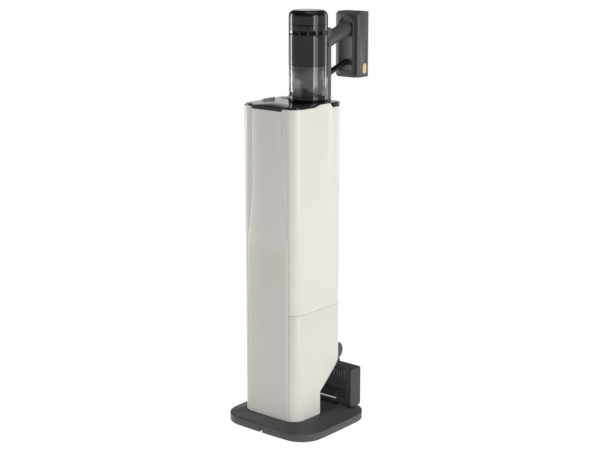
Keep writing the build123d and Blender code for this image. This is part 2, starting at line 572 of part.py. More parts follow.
def outer_tube():
    low = OUTER_LOW_Z
    tube = rod((0, WAND_Y, low), (0, WAND_Y, OUTER_TOP_Z), TUBE_R)
    tube = tube + rod((0, WAND_Y, low), (0, WAND_Y, low + COLLAR_H), COLLAR_R)
    boss = span_box(-9, 9, WAND_Y + 16, WAND_Y + 27, low + 6, low + 42)
    tube = tube + fillet(boss.edges().filter_by(Axis.Y), 4)
    tube = tube - span_box(-5.8, 5.8, WAND_Y + 20.5, WAND_Y + 30, low + 11, low + 37)
    return tube - rod((0, WAND_Y, low - 1), (0, WAND_Y, OUTER_TOP_Z + 1), TUBE_R - TUBE_WALL)


def tube_release():
    y = WAND_Y + 22.8
    return span_box(-5.3, 5.3, y, y + 6, OUTER_LOW_Z + 11.5, OUTER_LOW_Z + 36.5)


def inner_tube():
    outer = TUBE_R - TUBE_WALL - INNER_TUBE_GAP
    return ring(outer, outer - 1.6, INNER_LOW_Z, INNER_TOP_Z, 0, WAND_Y)


def spine_block(low, high):
    """The rear duct's outline, flush with the wand's tube below it."""
    half_y = (SPINE_FRONT_Y - SPINE_REAR_Y) / 2
    outline = Pos(0, SPINE_FRONT_Y - half_y, low) * RectangleRounded(2 * SPINE_HALF, 2 * half_y, 8)
    return extrude(outline, high - low)


def rear_spine():
    """The duct behind the bin and motor, carrying the wand's dust up to the separator."""
    duct_y, duct_r, duct_top = WAND_Y + 4, 9.0, BIN_TOP_Z - 8
    spine = spine_block(OUTER_TOP_Z, VENT_TOP_Z - 14)
    spine = spine - rod((0, BODY_Y, OUTER_TOP_Z - 9), (0, BODY_Y, CAP_TOP_Z), BODY_R)
    spine = spine - rod((0, duct_y, OUTER_TOP_Z - 9), (0, duct_y, duct_top), duct_r)
    spine = spine - span_box(-duct_r, duct_r, BODY_Y + 30, duct_y, BIN_TOP_Z - 24, duct_top - 2)
    socket = rod((0, WAND_Y, OUTER_TOP_Z - 14), (0, WAND_Y, OUTER_TOP_Z), TUBE_R + 2.4)
    return spine + socket - rod((0, WAND_Y, OUTER_TOP_Z - 30), (0, WAND_Y, OUTER_TOP_Z), TUBE_R)


def handle_bar(start, end, radius):
    """A bar from the rear duct, which it is notched round, to the handle's arch."""
    room = span_box(-60, 60, SPINE_REAR_Y, FRAME_Y - 2, BIN_SEAT_Z, CAP_TOP_Z + 60)
    bar = (rod(start, end, radius) & room) - spine_block(OUTER_TOP_Z, CAP_TOP_Z)
    bar = bar - rod((0, BODY_Y, OUTER_TOP_Z), (0, BODY_Y, CAP_TOP_Z), BODY_R + 0.2)
    return bar.solids().sort_by(SortBy.VOLUME)[-1]


def grip():
    bar = handle_bar(GRIP_START, GRIP_END, GRIP_R)
    along = (Vector(*GRIP_END) - Vector(*GRIP_START)).normalized()
    collar_at = Vector(*GRIP_END) - along * 12
    return bar + rod(tuple(collar_at), tuple(collar_at + along * 4), GRIP_R + 1.4)


def lower_strut():
    return handle_bar(STRUT_START, STRUT_END, STRUT_R)


def arch_block(half, y0, y1):
    """An upright block with a round top, set in from the frame's edges."""
    low, spring = PACK_LOW_Z + 11 + ARCH_HALF - half, PACK_HIGH_Z - 8 - ARCH_HALF
    block = span_box(-half, half, y0, y1, low, spring)
    block = fillet(block.edges().filter_by(Axis.Y).sort_by(Axis.Z)[:2], 6)
    return block + rod((0, y0, spring), (0, y1, spring), half)


def power_shape(extra, y0, y1):
    """A round-ended bar lying across the top of the arch."""
    outline = SlotCenterToCenter(2 * POWER_HALF, 2 * (POWER_R + extra))
    plane = Plane(origin=(0, y0, POWER_Z), x_dir=(1, 0, 0), z_dir=(0, 1, 0))
    return extrude(plane * outline, y1 - y0)


def handle_frame():
    """The plate behind the grip, with an arch-topped boss that the grip and strut run into."""
    plate = span_box(-PACK_HALF, PACK_HALF, FRAME_Y, SEAM_Y - 0.4, PACK_LOW_Z, PACK_HIGH_Z)
    plate = fillet(plate.edges().filter_by(Axis.Y), 9)
    rim = arch_block(ARCH_HALF, FRAME_Y - 5, FRAME_Y + 0.5)
    floor = arch_block(ARCH_HALF - 5, FRAME_Y - 6, FRAME_Y - 2)
    shape = plate + rim - floor
    shape = shape - power_shape(0.3, FRAME_Y - 6, FRAME_Y + 2)
    rail = span_box(-24.4, 24.4, SEAM_Y - 4.4, SEAM_Y + 1, PACK_LOW_Z + 14.6, PACK_HIGH_Z - 13.6)
    return shape - rail


def power_button():
    return power_shape(0, FRAME_Y - 4, FRAME_Y - 0.5)


def battery_case():
    shell = span_box(-PACK_HALF, PACK_HALF, SEAM_Y, PACK_REAR_Y, PACK_LOW_Z, PACK_HIGH_Z)
    rear = shell.faces().sort_by(Axis.Y)[-1]
    shell = fillet(rear.edges(), 9)
    half = PACK_HALF - SHELL_WALL
    inside = span_box(-half, half, SEAM_Y + 3, PACK_REAR_Y - 3, PACK_LOW_Z + 3, PACK_HIGH_Z - 3, 6)
    shell = shell - inside
    tongue = span_box(-24, 24, SEAM_Y - 3.4, SEAM_Y + 0.5, PACK_LOW_Z + 15, PACK_HIGH_Z - 14)
    for sign in (-1, 1):
        shell = shell - release_shape(sign, 0.4, 8)
    return shell + tongue


def release_shape(sign, extra, depth):
    """An upright rounded-end bar through the pack's side."""
    outline = Rot(0, 0, 90) * SlotCenterToCenter(2 * RELEASE_HALF, 2 * (RELEASE_R + extra))
    x = PACK_HALF + 1.0
    plane = Plane(origin=(sign * x, RELEASE_Y, RELEASE_Z), x_dir=(0, 1, 0), z_dir=(sign, 0, 0))
    return extrude(plane * outline, -depth)


def battery_release(sign):
    return release_shape(sign, 0, 4.6)


def battery_cells():
    cells = []
    for row in range(2):
        for column in range(3):
            x, z = CELL_STEP * (column - 1), PACK_LOW_Z + 8 + row * 74
            cells.append(rod((x, SEAM_Y + 22, z), (x, SEAM_Y + 22, z + 70), CELL_R))
    return Compound(children=cells)


def swivel_elbow():
    """The wand's foot: a centre drum on the pitch axis and a socket for the inner tube."""
    drum = rod((-DRUM_MID, WAND_Y, PIVOT_Z), (DRUM_MID, WAND_Y, PIVOT_Z), DRUM_R - 0.5)
    stem = rod((0, WAND_Y, PIVOT_Z), (0, WAND_Y, INNER_LOW_Z + 18), TUBE_R + 0.5)
    socket = rod((0, WAND_Y, INNER_LOW_Z), (0, WAND_Y, INNER_LOW_Z + 90), TUBE_R - TUBE_WALL - INNER_TUBE_GAP)
    duct = rod((0, WAND_Y, PIVOT_Z + 9), (0, WAND_Y, INNER_LOW_Z + 90), 12)
    bore = rod((-50, WAND_Y, PIVOT_Z), (50, WAND_Y, PIVOT_Z), AXLE_R + RUNNING_GAP)
    sides = rod((-60, WAND_Y, PIVOT_Z), (60, WAND_Y, PIVOT_Z), DRUM_R + 1) - span_box(
        -DRUM_MID, DRUM_MID, WAND_Y - 99, WAND_Y + 99, PIVOT_Z - 60, PIVOT_Z + 60)
    return drum + stem - sides - socket - duct - bore


def neck_yoke():
    """Two side drums on the pitch axis, joined below to the nozzle's cover."""
    shape = span_box(-DRUM_HALF + 2, DRUM_HALF - 2, WAND_Y - 14, WAND_Y + 14, NOZZLE_HIGH_Z, NOZZLE_HIGH_Z + 6)
    inner = DRUM_MID + 0.5
    for sign in (-1, 1):
        drum = rod((sign * inner, WAND_Y, PIVOT_Z), (sign * DRUM_HALF, WAND_Y, PIVOT_Z), DRUM_R)
        low, high = sorted((sign * (inner + 1), sign * (DRUM_HALF - 3)))
        shape = shape + span_box(low, high, WAND_Y - 12, WAND_Y + 12, NOZZLE_HIGH_Z, PIVOT_Z - 8)
        shape = shape + fillet(drum.edges().filter_by(GeomType.CIRCLE).sort_by(Axis.X)[-1 if sign > 0 else 0], 2)
    gap = rod((-inner, WAND_Y, PIVOT_Z), (inner, WAND_Y, PIVOT_Z), DRUM_R + 0.5)
    bore = rod((-DRUM_HALF + 6, WAND_Y, PIVOT_Z), (DRUM_HALF - 6, WAND_Y, PIVOT_Z), AXLE_R)
    return shape - gap - bore


def neck_axle():
    return rod((-DRUM_HALF + 6, WAND_Y, PIVOT_Z), (DRUM_HALF - 6, WAND_Y, PIVOT_Z), AXLE_R)


def nozzle_block(half, inset=0.0):
    """The nozzle's outer form: a flat box with rounded long edges."""
    block = span_box(
        -half, half, NOZZLE_BACK_Y + inset, NOZZLE_FRONT_Y - inset, NOZZLE_LOW_Z + inset, NOZZLE_HIGH_Z - inset)
    long_edges = block.edges().filter_by(Axis.X).sort_by(Axis.Y)
    block = fillet(long_edges[:2], 8 - inset)
    return fillet(block.edges().filter_by(Axis.X).sort_by(Axis.Y)[-2:], 7 - inset)


def nozzle_cover():
    half = SHELL_HALF - 0.2
    shell = nozzle_block(half) - nozzle_block(half - 3, 3)
    shell = shell & span_box(-400, 400, 0, SPLIT_Y, 0, 400)
    window = span_box(-WINDOW_HALF, WINDOW_HALF, NOZZLE_BACK_Y - 9, NOZZLE_BACK_Y + 8, WINDOW_LOW, WINDOW_HIGH)
    light = span_box(-LIGHT_HALF, LIGHT_HALF, NOZZLE_BACK_Y - 9, NOZZLE_BACK_Y + 4, LIGHT_Z - 1.5, LIGHT_Z + 1.5)
    for sign in (-1, 1):
        for column in range(RIB_COUNT):
            x = sign * (RIB_FIRST_X + column * RIB_STEP)
            shell = shell + span_box(
                x - 1.1, x + 1.1, NOZZLE_BACK_Y - 0.9, NOZZLE_BACK_Y + 2, NOZZLE_HIGH_Z - 26, NOZZLE_HIGH_Z - 6)
    bore = rod((-200, ROLLER_Y, ROLLER_Z), (200, ROLLER_Y, ROLLER_Z), ROLLER_AXLE_R + RUNNING_GAP)
    return shell - window - light - bore


def nozzle_window():
    return span_box(
        -WINDOW_HALF + 0.2, WINDOW_HALF - 0.2, NOZZLE_BACK_Y + 0.2, NOZZLE_BACK_Y + 2.4, WINDOW_LOW + 0.2,
        WINDOW_HIGH - 0.2)


def light_bar():
    return span_box(
        -LIGHT_HALF + 0.2, LIGHT_HALF - 0.2, NOZZLE_BACK_Y + 0.4, NOZZLE_BACK_Y + 3.4,
        LIGHT_Z - 1.3, LIGHT_Z + 1.3)


def nozzle_base():
    half = SHELL_HALF - 0.2
    sole = nozzle_block(half) - nozzle_block(half - 3, 3)
    sole = sole & span_box(-400, 400, SPLIT_Y + 0.3, 400, 0, 400)
    sole = sole - span_box(-93, 93, SPLIT_Y - 9, NOZZLE_FRONT_Y + 9, ROLLER_Z - 21, ROLLER_Z + 21)
    for x in WHEEL_PLACES:
        well = WHEEL_R + 1.6
        sole = sole - span_box(x - 5.4, x + 5.4, SPLIT_Y - 9, NOZZLE_FRONT_Y + 9, WHEEL_Z - well, WHEEL_Z + well)
        for side in (-1, 1):
            low, high = sorted((x + side * 5.6, x + side * 9))
            sole = sole + span_box(low, high, WHEEL_Y - 3.5, NOZZLE_FRONT_Y - 1, WHEEL_Z - 3.5, WHEEL_Z + 3.5)
        sole = sole + rod((x - 9, WHEEL_Y, WHEEL_Z), (x + 9, WHEEL_Y, WHEEL_Z), WHEEL_AXLE_R)
    return sole


def nozzle_wheels():
    bore = rod((-200, WHEEL_Y, WHEEL_Z), (200, WHEEL_Y, WHEEL_Z), WHEEL_AXLE_R + RUNNING_GAP)
    return Compound(children=[
        rod((x - 4, WHEEL_Y, WHEEL_Z), (x + 4, WHEEL_Y, WHEEL_Z), WHEEL_R) - bore for x in WHEEL_PLACES])


def end_caps():
    return Compound(children=[end_cap(sign) for sign in (-1, 1)])


def end_cap(sign):
    inner, outer = SHELL_HALF, NOZZLE_HALF
    block = nozzle_block(outer)
    low, high = sorted((sign * inner, sign * (outer + 1)))
    cap = block & span_box(low, high, 0, 400, 0, 400)
    face = cap.faces().sort_by(Axis.X)[-1 if sign > 0 else 0]
    return fillet(face.edges(), 3.5)


def brush_roller():
    core = rod((-ROLLER_HALF, ROLLER_Y, ROLLER_Z), (ROLLER_HALF, ROLLER_Y, ROLLER_Z), ROLLER_R - 4)
    for turn in range(6):
        rib = Pos(0, 0, ROLLER_R - 3) * Box(2 * ROLLER_HALF, 3.4, 6)
        rib = Pos(0, ROLLER_Y, ROLLER_Z) * Rot(turn * 60, 0, 0) * rib
        core = core + rib
    axle_half = SHELL_HALF - 1
    return core + rod((-axle_half, ROLLER_Y, ROLLER_Z), (axle_half, ROLLER_Y, ROLLER_Z), ROLLER_AXLE_R)


def roller_motor():
    y, z = NOZZLE_BACK_Y + 17, NOZZLE_HIGH_Z - 31.0
    return rod((30, y, z), (92, y, z), 12) + rod((92, y, z), (98, y, z), 4)


def vacuum_impeller():
    return impeller(0, BODY_Y, BIN_TOP_Z + 53, 34, 10, 2.5 + RUNNING_GAP, 9)


def station_impeller():
    return impeller(0, FAN_Y, 272, 32, 16, 3 + RUNNING_GAP, 11)


SUB_PARTS = [
    base_plate, underside_cover, screws, ballast, rubber_feet, power_inlet, rear_cover, side_frames, hinge_pins,
    top_plate, front_panel, bay_liner, chassis, dock_well, dock_seal, dust_bag, fan_housing, station_motor,
    station_impeller, exhaust_filter, control_board, charge_contacts, empty_button, crevice_tool, dusting_brush,
    filter_cap, exhaust_core, vent_ring, motor_housing, vacuum_motor, vacuum_impeller, dust_bin, bin_base,
    bin_flap, cyclone, outer_tube, tube_release, inner_tube, rear_spine, grip, lower_strut, handle_frame,
    power_button, battery_case, battery_cells, swivel_elbow, neck_yoke, neck_axle, nozzle_cover, nozzle_window,
    light_bar, nozzle_base, nozzle_wheels, end_caps, brush_roller, roller_motor]
HANDED = [door, battery_release]

os.makedirs("parts", exist_ok=True)
for make in SUB_PARTS:
    add(make.__name__, make())
for make in HANDED:
    add(make.__name__ + "_left", make(-1))
    add(make.__name__ + "_right", make(1))
for node, shape in parts.items():
    export_step(shape, f"parts/{node}.step")
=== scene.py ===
import bmesh
import bpy
import json
import math
import numpy as np
from mathutils import Euler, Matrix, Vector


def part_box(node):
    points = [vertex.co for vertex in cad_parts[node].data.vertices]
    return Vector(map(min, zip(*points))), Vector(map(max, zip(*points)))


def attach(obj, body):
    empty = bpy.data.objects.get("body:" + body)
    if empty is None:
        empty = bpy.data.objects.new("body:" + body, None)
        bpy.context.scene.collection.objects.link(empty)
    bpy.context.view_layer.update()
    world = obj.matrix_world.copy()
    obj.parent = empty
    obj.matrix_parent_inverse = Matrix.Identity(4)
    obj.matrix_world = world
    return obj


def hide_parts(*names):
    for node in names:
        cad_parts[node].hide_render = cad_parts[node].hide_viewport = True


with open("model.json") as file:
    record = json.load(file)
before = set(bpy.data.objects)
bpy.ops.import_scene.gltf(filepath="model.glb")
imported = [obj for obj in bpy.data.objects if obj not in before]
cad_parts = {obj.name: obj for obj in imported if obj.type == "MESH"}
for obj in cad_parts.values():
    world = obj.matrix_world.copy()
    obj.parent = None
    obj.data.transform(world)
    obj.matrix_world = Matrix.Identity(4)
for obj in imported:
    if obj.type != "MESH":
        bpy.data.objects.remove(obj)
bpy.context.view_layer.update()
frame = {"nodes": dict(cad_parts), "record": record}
record = frame["record"]
print("frame loaded:", len(frame["nodes"]), "nodes")

mm = 0.001


# sRGB hex to the linear colour that shaders use
def linearColour(hexText, alpha=1.0):
    parts = [int(hexText[i:i + 2], 16) / 255 for i in (1, 3, 5)]
    return tuple(p / 12.92 if p <= 0.04045 else ((p + 0.055) / 1.055) ** 2.4 for p in parts) + (alpha,)


# adds one node, sets its values and joins its inputs
def addNode(tree, kind, settings=None, links=None, **props):
    node = tree.nodes.new(kind)
    for name, value in props.items():
        setattr(node, name, value)
    for name, value in (settings or {}).items():
        node.inputs[name].default_value = value
    for name, source in (links or {}).items():
        tree.links.new(source, node.inputs[name])
    return node


# A moulded or finished surface: mottled colour, uneven gloss and a fine grain, all sized in millimetres
def surface(name, look):
    material = bpy.data.materials.new(name)
    material.use_nodes = True
    tree = material.node_tree
    tree.nodes.clear()
    place = addNode(tree, "ShaderNodeTexCoord").outputs["Object"]
    stretch = look.get("stretch", (1, 1, 1))
    place = addNode(tree, "ShaderNodeMapping", {"Scale": stretch}, {"Vector": place}).outputs["Vector"]
    mottle = addNode(
        tree, "ShaderNodeTexNoise", {"Scale": 1 / (look["mottleMm"] * mm), "Detail": 3.0}, {"Vector": place})
    grain = addNode(
        tree, "ShaderNodeTexNoise", {"Scale": 1 / (look["grainMm"] * mm), "Detail": 2.0}, {"Vector": place})
    tint = addNode(
        tree, "ShaderNodeMix", {6: linearColour(look["colour"]), 7: linearColour(look["shade"])},
        {0: mottle.outputs["Fac"]}, data_type="RGBA")
    gloss = addNode(
        tree, "ShaderNodeMapRange",
        {"To Min": look["roughness"] - look.get("glossSpread", 0.04),
         "To Max": look["roughness"] + look.get("glossSpread", 0.04)},
        {"Value": mottle.outputs["Fac"]})
    bump = addNode(
        tree, "ShaderNodeBump", {"Strength": look["bump"], "Distance": look["bumpMm"] * mm},
        {"Height": grain.outputs["Fac"]})
    shader = addNode(
        tree, "ShaderNodeBsdfPrincipled",
        {"Metallic": look.get("metallic", 0.0), "Coat Weight": look.get("coat", 0.0),
         "Coat Roughness": 0.06, "Transmission Weight": look.get("clear", 0.0),
         "Sheen Weight": look.get("sheen", 0.0)},
        {"Base Color": tint.outputs[2], "Roughness": gloss.outputs["Result"], "Normal": bump.outputs["Normal"]})
    shader.inputs["Specular IOR Level"].default_value = look.get("specular", 0.5)
    if not look.get("metallic"):
        shader.inputs["IOR"].default_value = look.get("ior", 1.5)
    if "glow" in look:
        shader.inputs["Emission Color"].default_value = linearColour(look.get("glowColour", look["colour"]))
        shader.inputs["Emission Strength"].default_value = look["glow"]
    addNode(tree, "ShaderNodeOutputMaterial", None, {"Surface": shader.outputs["BSDF"]})
    return material


# What each real material is, and what it gives the eye
looks = {
    # satin ABS moulding, warm off-white with a spark-eroded grain
    "satinWhiteAbs": dict(colour="#CDC9C4", shade="#C8C4BD", roughness=0.38, mottleMm=60, grainMm=0.9, bump=0.06,
                          bumpMm=0.1, ior=1.46),
    # textured charcoal ABS, dull and slightly grainy
    "charcoalAbs": dict(colour="#434345", shade="#3B3B3D", roughness=0.5, mottleMm=30, grainMm=0.8, bump=0.18,
                        bumpMm=0.15, ior=1.5),
    # polished dark polycarbonate: deep, wet-looking reflections
    "polishedDarkPc": dict(colour="#161617", shade="#111112", roughness=0.1, glossSpread=0.02, mottleMm=40, grainMm=6,
                           bump=0.02, bumpMm=0.1, specular=0.32, ior=1.5),
    # smoky clear polycarbonate of the bin and window
    "smokyClearPc": dict(colour="#B4B4B6", shade="#ABABAE", roughness=0.06, glossSpread=0.02, mottleMm=50,
                         grainMm=8, bump=0.02, bumpMm=0.1, clear=0.92, ior=1.5),
    # satin dark ABS of the handle and pack
    "satinDarkAbs": dict(colour="#3A3A3C", shade="#333335", roughness=0.42, mottleMm=25, grainMm=0.7, bump=0.12,
                         bumpMm=0.12, ior=1.5),
    # mid-grey ABS trim
    "greyAbs": dict(colour="#434346", shade="#3B3B3E", roughness=0.4, mottleMm=20, grainMm=0.7, bump=0.12,
                    bumpMm=0.12, ior=1.5),
    # gold lacquer on ABS: warm metal-like paint
    "goldLacquer": dict(colour="#DDBB92", shade="#D3AE82", roughness=0.3, mottleMm=8, grainMm=0.5, bump=0.05,
                        bumpMm=0.05, metallic=0.6),
    # anodised aluminium tube: fine lines drawn out along its length
    "anodisedTube": dict(colour="#7B7D81", shade="#6F7175", roughness=0.32, mottleMm=20, grainMm=0.6, bump=0.08,
                         bumpMm=0.05, metallic=1.0, stretch=(1, 1, 0.05)),
    # brushed stainless steel: streaks along the brushing, soft wide glints
    "brushedSteel": dict(colour="#A8A8A8", shade="#8E8E90", roughness=0.35, mottleMm=8, grainMm=0.4, bump=0.15,
                         bumpMm=0.05, metallic=1.0, stretch=(1, 1, 0.1)),
    # turned brass: warm yellow, a tight glint
    "brass": dict(colour="#D8B25E", shade="#C9A14B", roughness=0.25, mottleMm=6, grainMm=0.4, bump=0.05,
                  bumpMm=0.03, metallic=1.0),
    # soft black rubber, dull and powdery; the same finish paints the shade in the rear cover's seams
    "rubberAndSeamShade": dict(colour="#1B1B1B", shade="#232323", roughness=0.8, mottleMm=10, grainMm=0.5, bump=0.3,
                          bumpMm=0.1, ior=1.52),
    # non-woven fleece: matte fibres
    "fleece": dict(colour="#E4E3DF", shade="#D3D1CB", roughness=0.95, mottleMm=9, grainMm=1.2, bump=0.7,
                   bumpMm=0.6, sheen=0.3),
    # pleated filter paper: cool pale grey, no gloss
    "pleatedPaper": dict(colour="#C9CFD2", shade="#B4BABD", roughness=0.9, mottleMm=6, grainMm=0.8, bump=0.4,
                         bumpMm=0.3),
    # lacquered glass-fibre board: deep green under a thin clear coat
    "circuitBoard": dict(colour="#14482A", shade="#0F3A21", roughness=0.35, mottleMm=3, grainMm=1.0, bump=0.3,
                         bumpMm=0.2, coat=0.4),
    # nylon pile, reddish brown
    "nylonPile": dict(colour="#7A3A2A", shade="#5C281D", roughness=0.9, mottleMm=3, grainMm=0.7, bump=0.8,
                      bumpMm=0.8, sheen=0.4),
    # stands for the shade inside a small hole: dull, a little warm
    "holeShade": dict(colour="#98938C", shade="#8D8881", roughness=0.9, mottleMm=20, grainMm=0.5, bump=0.05,
                      bumpMm=0.05),
    # painted shade: the exhaust core, pleated filter paper, coloured almost black so it reads dark in its slots; dull
    # and grainy
    "exhaustCoreShade": dict(colour="#1A1A1A", shade="#101010", roughness=0.95, mottleMm=3, grainMm=1.2, bump=0.6,
                        bumpMm=0.5),
    # painted highlight: the ribs coloured lighter than the hood to stand for the glint along their crowns; a little
    # glossier
    "ribHighlightGrey": dict(colour="#77777A", shade="#6C6C6F", roughness=0.35, mottleMm=10, grainMm=0.7, bump=0.08,
                   bumpMm=0.08),
    # dense black ABS of the nozzle's end caps
    "blackAbs": dict(colour="#29292B", shade="#232325", roughness=0.45, mottleMm=20, grainMm=0.7, bump=0.14,
                     bumpMm=0.12, ior=1.5),
    # moulded charcoal of the nozzle hood, a little lighter and silkier
    "nozzleAbs": dict(colour="#434345", shade="#3C3C3E", roughness=0.42, mottleMm=25, grainMm=0.7, bump=0.14,
                      bumpMm=0.12, ior=1.5),
    # opal light diffuser
    "opalPc": dict(colour="#F2F4F2", shade="#E8EAE8", roughness=0.3, mottleMm=10, grainMm=2, bump=0.05,
                   bumpMm=0.05, glow=0.35),
    # shrink sleeve on the cells: smooth blue film
    "cellSleeve": dict(colour="#2B5E94", shade="#24507F", roughness=0.3, mottleMm=12, grainMm=3, bump=0.05,
                       bumpMm=0.1),
    # unpolished inner ABS: flat mid grey
    "innerGreyAbs": dict(colour="#5A5B5D", shade="#505153", roughness=0.55, mottleMm=30, grainMm=0.9, bump=0.15,
                         bumpMm=0.15),
}
materials = {name: surface(name, look) for name, look in looks.items()}

slotMaterial = {
    "shell_white": "satinWhiteAbs", "charcoal": "charcoalAbs", "gloss_dark": "polishedDarkPc",
    "inner_grey": "innerGreyAbs", "clear_smoke": "smokyClearPc", "battery_grey": "satinDarkAbs",
    "gold": "goldLacquer", "rubber": "rubberAndSeamShade", "steel": "brushedSteel", "tube_metal": "anodisedTube",
    "brass": "brass", "bag_fleece": "fleece", "filter_paper": "pleatedPaper", "board_green": "circuitBoard",
    "brush_pile": "nylonPile", "light_lens": "opalPc", "cell_wrap": "cellSleeve", "cap_grey": "greyAbs"}
slotOf = {row["node"]: row["material_slot"] for row in record["subparts"]}
bodyOf = {node: body for body, nodes in record["behaviour"]["bodies"].items() for node in nodes}
# the exhaust core takes painted shade in place of its paper; the nozzle hood and end caps take their own finishes
ownMaterial = {"exhaust_core": "exhaustCoreShade", "nozzle_cover": "nozzleAbs", "end_caps": "blackAbs"}
for node, item in frame["nodes"].items():
    item.data.materials.clear()
    item.data.materials.append(materials[ownMaterial.get(node, slotMaterial[slotOf[node]])])
print("materials made:", len(materials))


# Makes a mesh piece that rides on a body and takes a slot's finish
def newPiece(name, points, faces, body, material):
    mesh = bpy.data.meshes.new(name)
    mesh.from_pydata(points.tolist(), [], faces)
    mesh.validate()
    shell = bmesh.new()
    shell.from_mesh(mesh)
    bmesh.ops.recalc_face_normals(shell, faces=shell.faces)
    shell.to_mesh(mesh)
    shell.free()
    mesh.shade_smooth()
    piece = bpy.data.objects.new(name, mesh)
    bpy.context.scene.collection.objects.link(piece)
    mesh.materials.append(materials[material])
    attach(piece, body)
    return piece


# Faces of a grid of rows by columns; wrapped joins the last column to the first
def gridFaces(rows, columns, wrapped=True, capped=False):
    spread = np.arange(columns if wrapped else columns - 1)
    nextOne = (spread + 1) % columns
    quads = [
        np.stack([r * columns + spread, r * columns + nextOne, (r + 1) * columns + nextOne,
                  (r + 1) * columns + spread], 1) for r in range(rows - 1)]
    faces = np.concatenate(quads).tolist()
    if capped:
        faces.append(list(range(columns))[::-1])
        faces.append([(rows - 1) * columns + c for c in range(columns)])
    return faces


# The CAD node's own form with its sharp edges softened, as moulded edges are
def softenEdges(node, width):
    source = frame["nodes"][node]
    mesh = source.data.copy()
    piece = bpy.data.objects.new(node + "_soft", mesh)
    bpy.context.scene.collection.objects.link(piece)
    bpy.context.view_layer.objects.active = piece
    weld = piece.modifiers.new("weld", "WELD")
    weld.merge_threshold = 0.00001
    bevel = piece.modifiers.new("bevel", "BEVEL")
    bevel.width = width * mm
    bevel.segments = 2
    bevel.limit_method = "ANGLE"
    bevel.angle_limit = math.radians(40)
    bevel.use_clamp_overlap = True
    depsgraph = bpy.context.evaluated_depsgraph_get()
    done = bpy.data.meshes.new_from_object(piece.evaluated_get(depsgraph))
    piece.modifiers.clear()
    piece.data = done
    done.shade_smooth()
    done.set_sharp_from_angle(angle=math.radians(28))
    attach(piece, bodyOf[node])
    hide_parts(node)
    return piece


# Exhaust dots on the lower rear cover, spaced wide enough to show; they stand for holes and do not go through
ventField = {"pitchMm": 4.2, "rowShare": 0.87, "holeMm": 0.62, "lowMm": 62, "highMm": 470, "halfWidthMm": 55,
             "sides": 6, "depthMm": 0.5, "startMm": 10, "proudMm": 0.06}


# Six-sided discs on a staggered grid, pressed along Y onto the cover's bowed face, then given a depth and closed
def makeVentField(field):
    pitch = field["pitchMm"] * mm
    half = field["halfWidthMm"] * mm
    columns = np.arange(-half, half + 1e-6, pitch)
    rows = np.arange(field["lowMm"] * mm, field["highMm"] * mm, pitch * field["rowShare"])
    x, z = np.meshgrid(columns, rows)
    x = x + (np.arange(len(rows)) % 2)[:, None] * pitch / 2
    centres = np.stack([x.ravel(), z.ravel()], 1)
    turn = np.arange(field["sides"]) * 2 * math.pi / field["sides"]
    rim = np.stack([np.cos(turn), np.sin(turn)], 1) * field["holeMm"] * mm
    flat = centres[:, None, :] + rim[None, :, :]
    outside = np.full(flat.shape[:2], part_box("rear_cover")[0][1] - field["startMm"] * mm)
    points = np.stack([flat[..., 0], outside, flat[..., 1]], -1).reshape(-1, 3)
    faces = np.arange(len(points)).reshape(-1, field["sides"]).tolist()
    discs = bpy.data.meshes.new("discs")
    discs.from_pydata(points.tolist(), [], faces)
    loose = bpy.data.objects.new("discs", discs)
    bpy.context.scene.collection.objects.link(loose)
    press = loose.modifiers.new("press", "SHRINKWRAP")
    press.target = frame["nodes"]["rear_cover"]
    press.wrap_method = "PROJECT"
    press.use_project_y = True
    press.use_positive_direction, press.use_negative_direction = True, False
    press.wrap_mode = "ABOVE_SURFACE"
    press.offset = field["proudMm"] * mm
    depsgraph = bpy.context.evaluated_depsgraph_get()
    pressed = bpy.data.meshes.new_from_object(loose.evaluated_get(depsgraph))
    front = np.empty(len(points) * 3)
    pressed.vertices.foreach_get("co", front)
    bpy.data.objects.remove(loose)
    front = front.reshape(-1, field["sides"], 3)
    plugs = np.concatenate([front, front + np.array([0, field["depthMm"] * mm, 0])], 1).reshape(-1, 3)
    oneFaces = np.array(gridFaces(2, field["sides"])[:field["sides"]])
    ends = np.array([range(field["sides"])[::-1], range(field["sides"], 2 * field["sides"])])
    starts = np.arange(len(front))[:, None, None] * 2 * field["sides"]
    plugFaces = (oneFaces + starts).reshape(-1, 4).tolist() + (ends + starts).reshape(-1, field["sides"]).tolist()
    return newPiece("exhaust_perforation", plugs, plugFaces, "back_cover", "holeShade")


makeVentField(ventField)

# Dark strips of painted shade set into the rear cover's seams, in the rubber finish
seamShadeStrip = {"halfTopMm": 47.35, "halfLowMm": 65.35, "flareTopMm": 618, "flareLowMm": 485, "lowMm": 40, "highMm": 806,
             "widthMm": 1.6, "depthMm": 1.4, "thickMm": 0.6, "faceMm": -107.7, "cornerMm": 54, "bendMm": 33,
             "rows": 240}


# A flat ribbon that follows the seam's height profile, set a little behind the shell's face and touching no piece
def makeSeamShadeStrips(strip):
    z = np.linspace(strip["lowMm"], strip["highMm"], strip["rows"])
    centre = np.interp(
        z, [strip["flareLowMm"], strip["flareTopMm"]], [strip["halfLowMm"], strip["halfTopMm"]])
    bend = strip["bendMm"]
    for side, name in ((-1, "seam_shade_left"), (1, "seam_shade_right")):
        x = side * (centre[:, None] + np.array([-0.5, 0.5]) * strip["widthMm"])
        past = np.clip(np.abs(x) - strip["cornerMm"], 0, bend)
        y = strip["faceMm"] + bend - np.sqrt(bend ** 2 - past ** 2) + strip["depthMm"]
        front = np.stack([x, y, np.broadcast_to(z[:, None], x.shape)], -1)
        back = front + np.array([0, strip["thickMm"], 0])
        ringPoints = np.concatenate([front, back[:, ::-1]], 1) * mm
        faces = gridFaces(len(z), 4, True, True)
        if side < 0:
            faces = [face[::-1] for face in faces]
        newPiece(name, ringPoints.reshape(-1, 3), faces, "station", "rubberAndSeamShade")


makeSeamShadeStrips(seamShadeStrip)

# The roller's spiral pile
brushLook = {"ridgeMm": 1.6, "starts": 3, "turnsAlong": 1.6, "endGapMm": 14, "endShare": 0.72, "endSteepness": 40,
             "rows": 180, "columns": 96}


